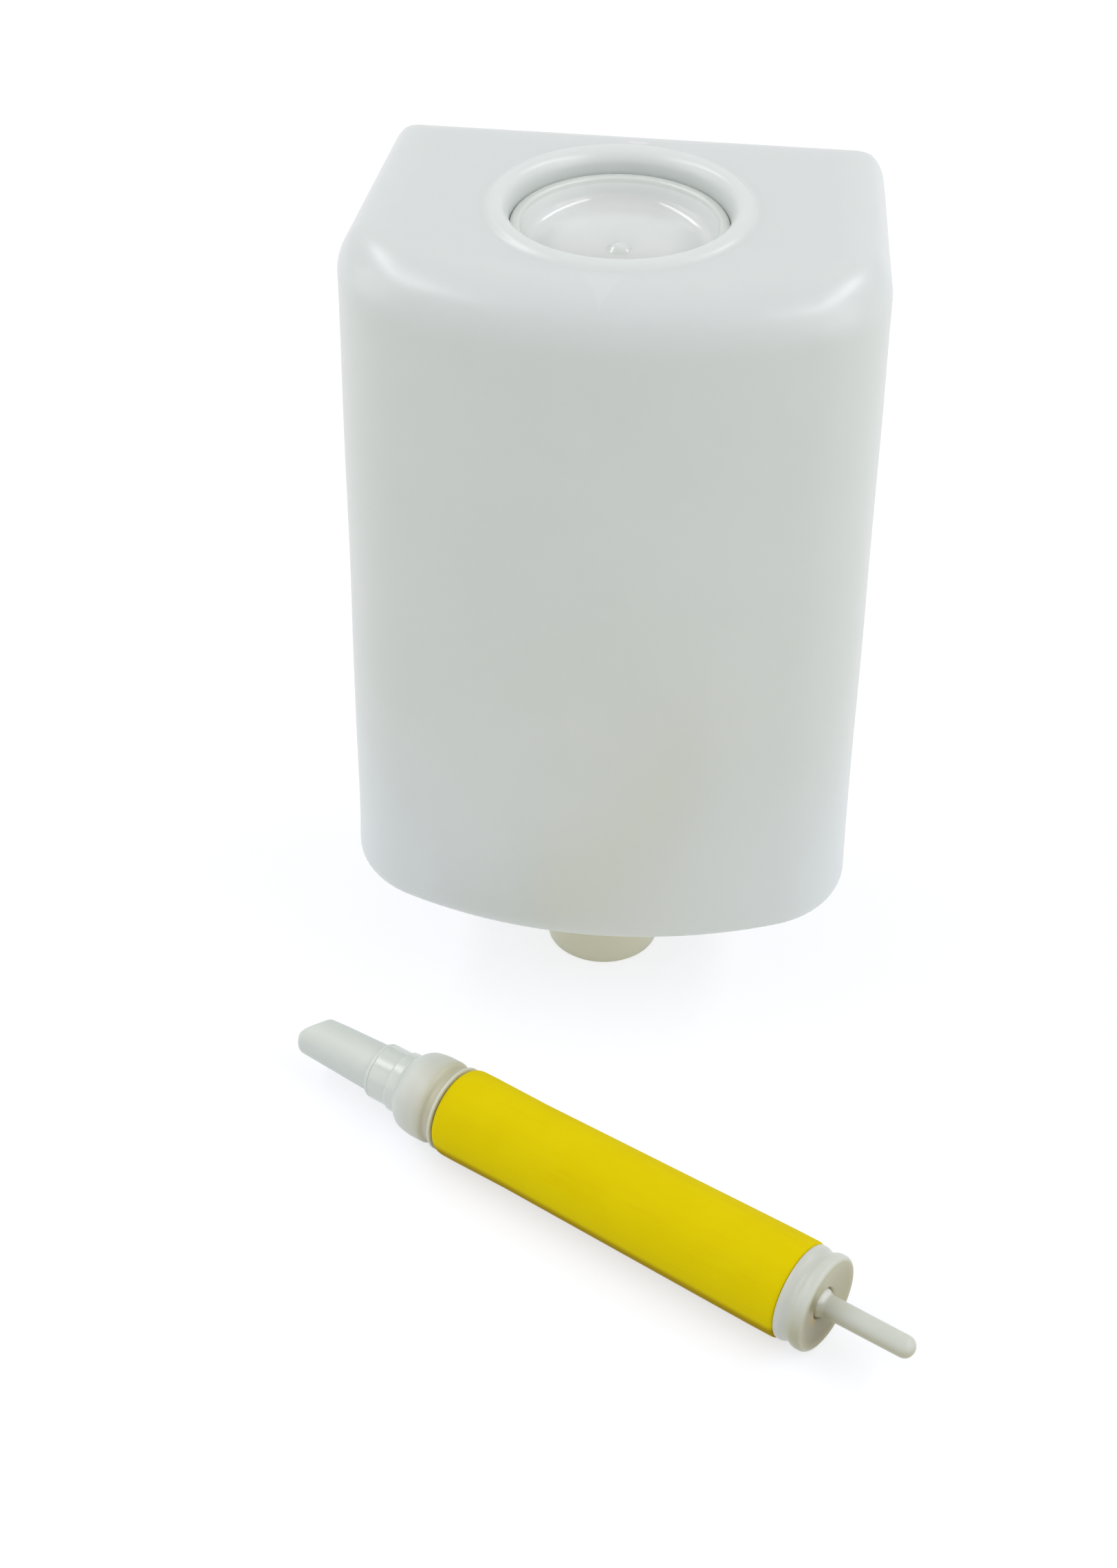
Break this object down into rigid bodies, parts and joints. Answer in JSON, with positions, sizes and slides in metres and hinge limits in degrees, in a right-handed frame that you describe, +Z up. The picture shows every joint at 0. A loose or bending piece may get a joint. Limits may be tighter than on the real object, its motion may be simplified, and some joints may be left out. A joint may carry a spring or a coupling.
{
  "type": "liquid detergent dispenser bottle",
  "caption": "Reservoir bottle with a bowed front, a push-in filler lid on top and an outlet neck below, with its separate rubber squeeze valve lying in front.",
  "frame": {"origin": "middle of the outlet neck's mouth, on the surface that the neck stands on", "axes": "+Z up along the neck and the filler mouth, -Y towards the bowed front, +X to the right seen from the front"},
  "size_m": [0.1299, 0.1632, 0.1787],
  "materials": {
    "natural_plastic": "satin, slightly translucent",
    "lid_plastic": "glossy, slightly translucent",
    "bush_rubber": "matt",
    "yellow_rubber": "smooth satin",
    "clear_plastic": "satin, cloudy translucent",
    "ivory_plastic": "satin, milky",
    "ball_glass": "polished",
    "spring_steel": "bright drawn"
  },
  "bodies": {
    "bottle": {"bottle_body": "natural_plastic", "neck_bush": "bush_rubber"},
    "lid": {"filler_lid": "lid_plastic"},
    "valve": {"squeeze_tube": "yellow_rubber", "inlet_spigot": "clear_plastic", "ball_cage": "clear_plastic", "outlet_plug": "ivory_plastic", "pin_guide": "ivory_plastic", "outlet_spring": "spring_steel"},
    "ball": {"inlet_ball": "ball_glass"},
    "pin": {"outlet_pin": "ivory_plastic", "spring_washer": "spring_steel"}
  },
  "joints": [
    {"name": "lid_lift", "type": "slide", "parent": "bottle", "child": "lid", "axis": [0, 0, 1], "range_m": [0, 0.06]},
    {"name": "valve_lift", "type": "slide", "parent": "bottle", "child": "valve", "axis": [0, 0, 1], "range_m": [0, 0.06]},
    {"name": "ball_slide", "type": "slide", "parent": "valve", "child": "ball", "axis": [0.8686, -0.4954, 0.0084], "range_m": [0, 0.0065]},
    {"name": "pin_slide", "type": "slide", "parent": "valve", "child": "pin", "axis": [0.8686, -0.4954, 0.0084], "range_m": [0, 0.0025], "stiffness_N_per_m": 150, "springref_m": -0.003, "deforming": ["outlet_spring"]}
  ]
}
